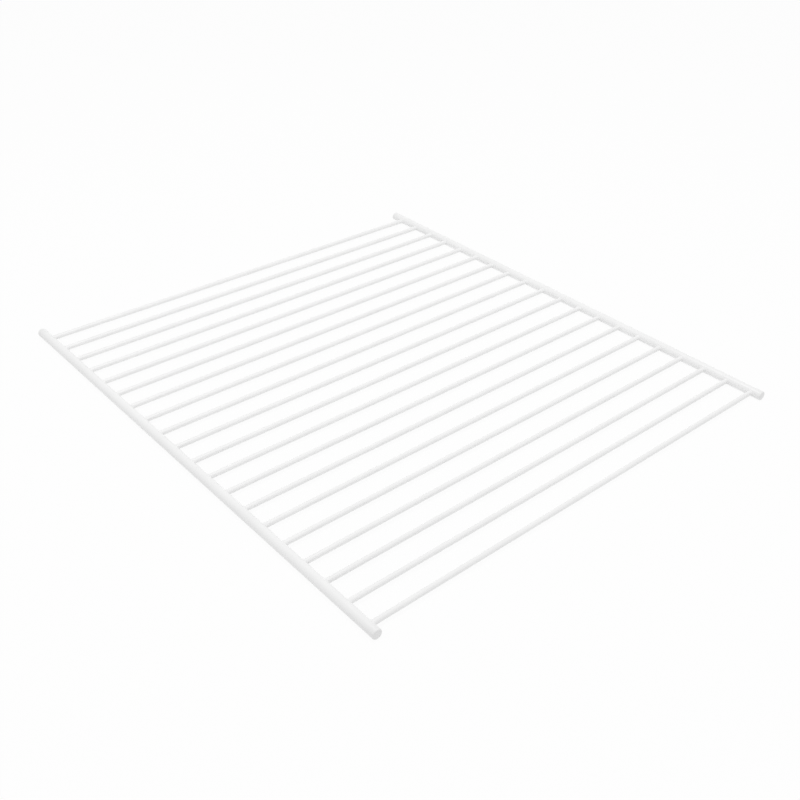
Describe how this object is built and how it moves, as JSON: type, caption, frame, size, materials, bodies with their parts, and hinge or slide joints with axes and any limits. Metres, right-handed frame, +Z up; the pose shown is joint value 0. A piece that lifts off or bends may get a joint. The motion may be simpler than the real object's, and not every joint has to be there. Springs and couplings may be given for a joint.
{
  "type": "freezer wire shelf",
  "caption": "Flat wire shelf for a freezer: two thick side rails joined by a row of thin welded cross wires, all coated white.",
  "frame": {"origin": "under the middle of the shelf, on the surface that its side rails rest on", "axes": "+X along the cross wires to the right rail, +Y along the rails to the back of the freezer, +Z up"},
  "size_m": [0.344, 0.3824, 0.0063],
  "materials": {
    "white_coating": "smooth glossy white baked coating on steel rod"
  },
  "bodies": {
    "root": {"side_rail_left": "white_coating", "side_rail_right": "white_coating", "cross_wire_01": "white_coating", "cross_wire_02": "white_coating", "cross_wire_03": "white_coating", "cross_wire_04": "white_coating", "cross_wire_05": "white_coating", "cross_wire_06": "white_coating", "cross_wire_07": "white_coating", "cross_wire_08": "white_coating", "cross_wire_09": "white_coating", "cross_wire_10": "white_coating", "cross_wire_11": "white_coating", "cross_wire_12": "white_coating", "cross_wire_13": "white_coating", "cross_wire_14": "white_coating", "cross_wire_15": "white_coating", "cross_wire_16": "white_coating", "cross_wire_17": "white_coating", "cross_wire_18": "white_coating", "cross_wire_19": "white_coating", "cross_wire_20": "white_coating"}
  },
  "joints": []
}
